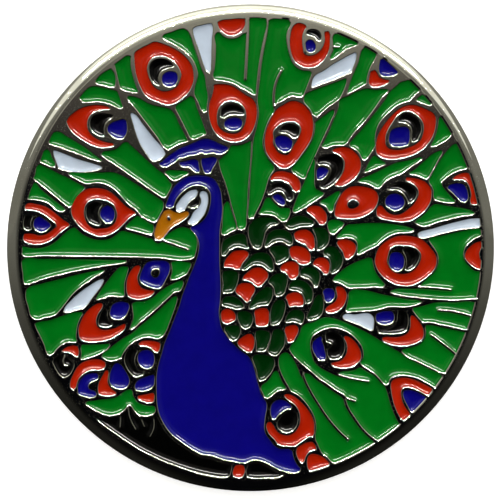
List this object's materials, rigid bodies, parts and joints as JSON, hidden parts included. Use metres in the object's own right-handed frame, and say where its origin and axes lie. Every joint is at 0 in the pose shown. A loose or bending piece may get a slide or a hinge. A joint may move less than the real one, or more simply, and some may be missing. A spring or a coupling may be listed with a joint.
{
  "type": "ball marker",
  "caption": "Round flat metal coin marker with raised metal lines round recessed glossy enamel in a peacock design and a plain flat back.",
  "frame": {"origin": "centre of the flat back", "axes": "+Z out of the artwork face, +Y to the top of the artwork, +X to its right as read"},
  "size_m": [0.0254, 0.0254, 0.002],
  "materials": {
    "enamel_amber": "glossy soft enamel",
    "enamel_black": "glossy soft enamel",
    "enamel_blue": "glossy soft enamel",
    "enamel_dark": "glossy soft enamel",
    "enamel_green": "glossy soft enamel",
    "enamel_red": "glossy soft enamel",
    "enamel_white": "glossy soft enamel",
    "nickel_plate": "polished nickel plating"
  },
  "bodies": {
    "root": {"coin_body": "nickel_plate", "enamel_beak": "enamel_amber", "enamel_body_blue": "enamel_blue", "enamel_crest_blade": "enamel_blue", "enamel_eye_c1_red": "enamel_red", "enamel_eye_c2_red": "enamel_red", "enamel_eye_e1_red": "enamel_red", "enamel_eye_e2_red": "enamel_red", "enamel_eye_e4_red": "enamel_red", "enamel_eye_e6_red": "enamel_red", "enamel_eye_n1_red": "enamel_red", "enamel_eye_n2_red": "enamel_red", "enamel_eye_ne1_red": "enamel_red", "enamel_eye_nw_red": "enamel_red", "enamel_eye_s2_red": "enamel_red", "enamel_eye_se4_red": "enamel_red", "enamel_eye_sw1_blue": "enamel_blue", "enamel_eye_sw2_red": "enamel_red", "enamel_eye_w1_red": "enamel_red", "enamel_eye_w2_red": "enamel_red", "enamel_ground_black": "enamel_black", "enamel_plume_c_b": "enamel_green", "enamel_plume_c_c": "enamel_green", "enamel_plume_c_d": "enamel_green", "enamel_plume_e_a": "enamel_green", "enamel_plume_e_c": "enamel_green", "enamel_plume_e_e": "enamel_green", "enamel_plume_e_f": "enamel_green", "enamel_plume_e_g": "enamel_green", "enamel_plume_n_a": "enamel_green", "enamel_plume_n_b": "enamel_green", "enamel_plume_n_c": "enamel_green", "enamel_plume_ne_b": "enamel_green", "enamel_plume_ne_c": "enamel_green", "enamel_plume_ne_d": "enamel_green", "enamel_plume_ne_e": "enamel_green", "enamel_plume_nw_c": "enamel_green", "enamel_plume_nw_d": "enamel_green", "enamel_plume_nw_e": "enamel_green", "enamel_plume_s_b": "enamel_green", "enamel_plume_s_c": "enamel_green", "enamel_plume_s_e": "enamel_green", "enamel_plume_se_a": "enamel_green", "enamel_plume_se_b": "enamel_green", "enamel_plume_se_c": "enamel_green", "enamel_plume_se_d": "enamel_green", "enamel_plume_se_e": "enamel_green", "enamel_plume_sw_a": "enamel_green", "enamel_plume_sw_b": "enamel_green", "enamel_plume_sw_c": "enamel_green", "enamel_plume_sw_d": "enamel_green", "enamel_plume_w_c": "enamel_green", "enamel_plume_w_d": "enamel_green", "enamel_plume_w_f": "enamel_green", "enamel_plume_w_g": "enamel_green", "enamel_quill_n": "enamel_white", "enamel_quill_ne": "enamel_white", "enamel_quill_nw": "enamel_white", "enamel_scale_01": "enamel_dark", "enamel_tuft_green": "enamel_green"}
  },
  "joints": []
}
